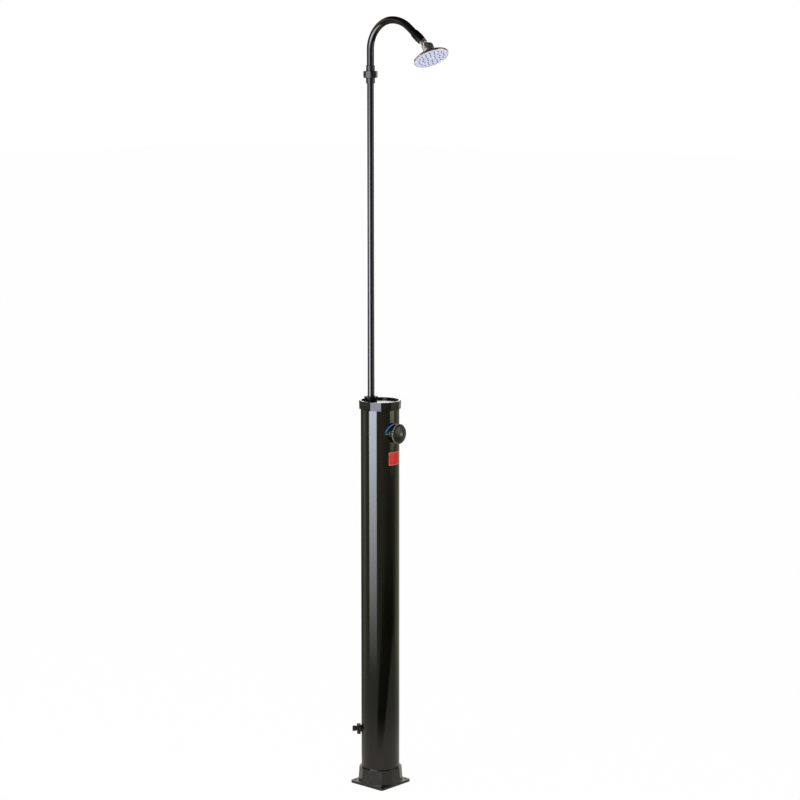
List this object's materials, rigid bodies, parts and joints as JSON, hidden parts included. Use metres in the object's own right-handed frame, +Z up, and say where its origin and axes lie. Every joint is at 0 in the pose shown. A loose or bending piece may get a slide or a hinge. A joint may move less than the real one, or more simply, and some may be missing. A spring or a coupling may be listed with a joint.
{
  "type": "outdoor shower post",
  "caption": "Free-standing outdoor shower post: round dark water tank on a square floor socket, mixer knob, thin riser, gooseneck arm and a round shower head on a ball joint.",
  "frame": {"origin": "on the floor, at the tank's axis, at the underside of the floor plate", "axes": "+Z up along the tank; -Y is the user's side with the knob and the arm; +X to the right of a user who faces +Y"},
  "size_m": [0.128, 0.3052, 2.2382],
  "materials": {
    "black_moulding": "moulded, faint sheen",
    "tank_pvc": "extruded and glossy",
    "inner_tube": "plain",
    "brass": "machined",
    "cartridge_case": "moulded",
    "nylon": "moulded",
    "dial": "glossy printed plate",
    "knob_plastic": "glossy moulding",
    "steel": "turned",
    "black_paint": "glossy black",
    "rubber": "matt",
    "chrome": "polished",
    "nozzle_silicone": "matt",
    "face_plastic": "satin"
  },
  "bodies": {
    "post": {"base_socket": "black_moulding", "tank_tube": "tank_pvc", "bottom_plug": "tank_pvc", "top_cap": "black_moulding", "inlet_body": "black_moulding", "inlet_gasket": "rubber", "inlet_collar": "black_moulding", "inlet_nut": "black_moulding", "cold_tube": "inner_tube", "hot_tube": "inner_tube", "outlet_tube": "inner_tube", "mixer_body": "brass", "mixer_gasket": "rubber", "dial_plate": "dial", "mixer_nut": "brass", "cartridge": "cartridge_case", "cartridge_gland": "brass", "riser_socket": "brass", "riser_gasket": "rubber", "riser_olive": "rubber", "riser_nut": "black_moulding", "riser_pipe": "black_paint", "union_tail": "black_paint", "union_gasket": "rubber"},
    "union_nut": {"union_nut": "black_paint"},
    "arm": {"arm_tail": "black_paint", "arm_pipe": "black_paint", "arm_ferrule": "black_moulding", "stud_washer": "rubber"},
    "ball_stud": {"ball_stud": "chrome"},
    "ball_seat": {"ball_seat": "nylon"},
    "head": {"ball_nut": "chrome", "head_shell": "chrome", "flow_filter": "steel", "face_seal": "rubber", "nozzle_mat": "nozzle_silicone", "face_plate": "face_plastic"},
    "knob": {"knob": "knob_plastic", "knob_screw": "steel", "knob_cap": "knob_plastic", "spindle": "steel"}
  },
  "joints": [
    {"name": "knob_turn", "type": "hinge", "parent": "post", "child": "knob", "pos_m": [0, -0.07, 1.053], "axis": [0, -1, 0], "range_deg": [-60, 60]},
    {"name": "union_nut_turn", "type": "hinge", "parent": "post", "child": "union_nut", "pos_m": [0, 0.035, 2.076], "axis": [0, 0, 1], "continuous": true},
    {"name": "arm_swivel", "type": "hinge", "parent": "post", "child": "arm", "pos_m": [0, 0.035, 2.0812], "axis": [0, 0, 1], "continuous": true},
    {"name": "head_swivel", "type": "hinge", "parent": "arm", "child": "ball_stud", "pos_m": [0, -0.1788, 2.15356], "axis": [0, -0.7923, -0.6101], "continuous": true},
    {"name": "head_tilt", "type": "hinge", "parent": "ball_stud", "child": "ball_seat", "pos_m": [0, -0.1788, 2.15356], "axis": [0.9651, 0.1597, -0.2074], "range_deg": [-53.1, 6.9]},
    {"name": "head_spin", "type": "hinge", "parent": "ball_seat", "child": "head", "pos_m": [0, -0.1788, 2.15356], "axis": [-0.1029, -0.497, -0.8616], "continuous": true}
  ]
}
